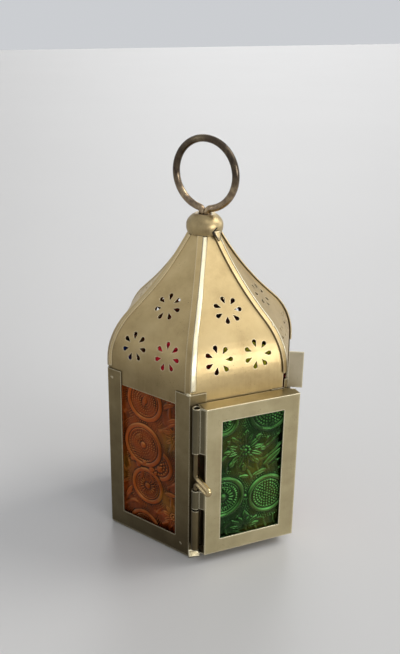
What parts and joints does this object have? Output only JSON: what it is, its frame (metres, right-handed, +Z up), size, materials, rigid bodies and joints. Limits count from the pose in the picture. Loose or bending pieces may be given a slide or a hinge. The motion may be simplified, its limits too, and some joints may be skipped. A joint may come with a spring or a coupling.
{
  "type": "ramadan fanous lantern",
  "caption": "Hexagonal sheet-tin candle lantern with pressed coloured glass, a pierced ogee roof, a hinged and bolted door, and a swivelling wire carrying ring.",
  "frame": {"origin": "middle of the lantern's underside, on the vertical axis of the hexagon", "axes": "+Z up, the door's face looks along -Y, the door's hinge is on the +X side"},
  "size_m": [0.12, 0.1209, 0.2359],
  "materials": {
    "gold_tin": "satin antique gold over tin sheet",
    "bronze_wire": "satin dark bronze wire",
    "amber_glass": "pressed relief",
    "green_glass": "pressed relief",
    "red_glass": "pressed relief",
    "blue_glass": "pressed relief",
    "yellow_glass": "pressed relief"
  },
  "bodies": {
    "lantern": {"base_tray": "gold_tin", "candle_cup": "gold_tin", "body_shell": "gold_tin", "corner_strip_door_left": "gold_tin", "corner_strip_door_right": "gold_tin", "corner_strip_right": "gold_tin", "corner_strip_back_right": "gold_tin", "corner_strip_back_left": "gold_tin", "corner_strip_left": "gold_tin", "pane_left_front": "amber_glass", "pane_left_back": "blue_glass", "pane_back": "red_glass", "pane_right_back": "yellow_glass", "pane_right_front": "red_glass", "roof_panel_door": "gold_tin", "roof_panel_right_front": "gold_tin", "roof_panel_right_back": "gold_tin", "roof_panel_back": "gold_tin", "roof_panel_left_back": "gold_tin", "roof_panel_left_front": "gold_tin", "finial_cap": "gold_tin", "ring_washer": "gold_tin", "hinge_strip": "gold_tin", "hinge_pin": "bronze_wire", "latch_keeper": "gold_tin"},
    "door": {"door_frame": "gold_tin", "door_pane": "green_glass", "door_glass_retainer": "gold_tin"},
    "bolt": {"latch_bolt": "bronze_wire"},
    "ring": {"ring_handle": "bronze_wire"}
  },
  "joints": [
    {"name": "door_hinge", "type": "hinge", "parent": "lantern", "child": "door", "pos_m": [0.0332, -0.053, 0.0529], "axis": [0, 0, 1], "range_deg": [0, 110]},
    {"name": "bolt_slide", "type": "slide", "parent": "door", "child": "bolt", "axis": [0, 0, 1], "range_m": [-0.0023, 0.012]},
    {"name": "ring_swivel", "type": "hinge", "parent": "lantern", "child": "ring", "pos_m": [0, 0, 0.19156], "axis": [0, 0, 1], "continuous": true}
  ]
}
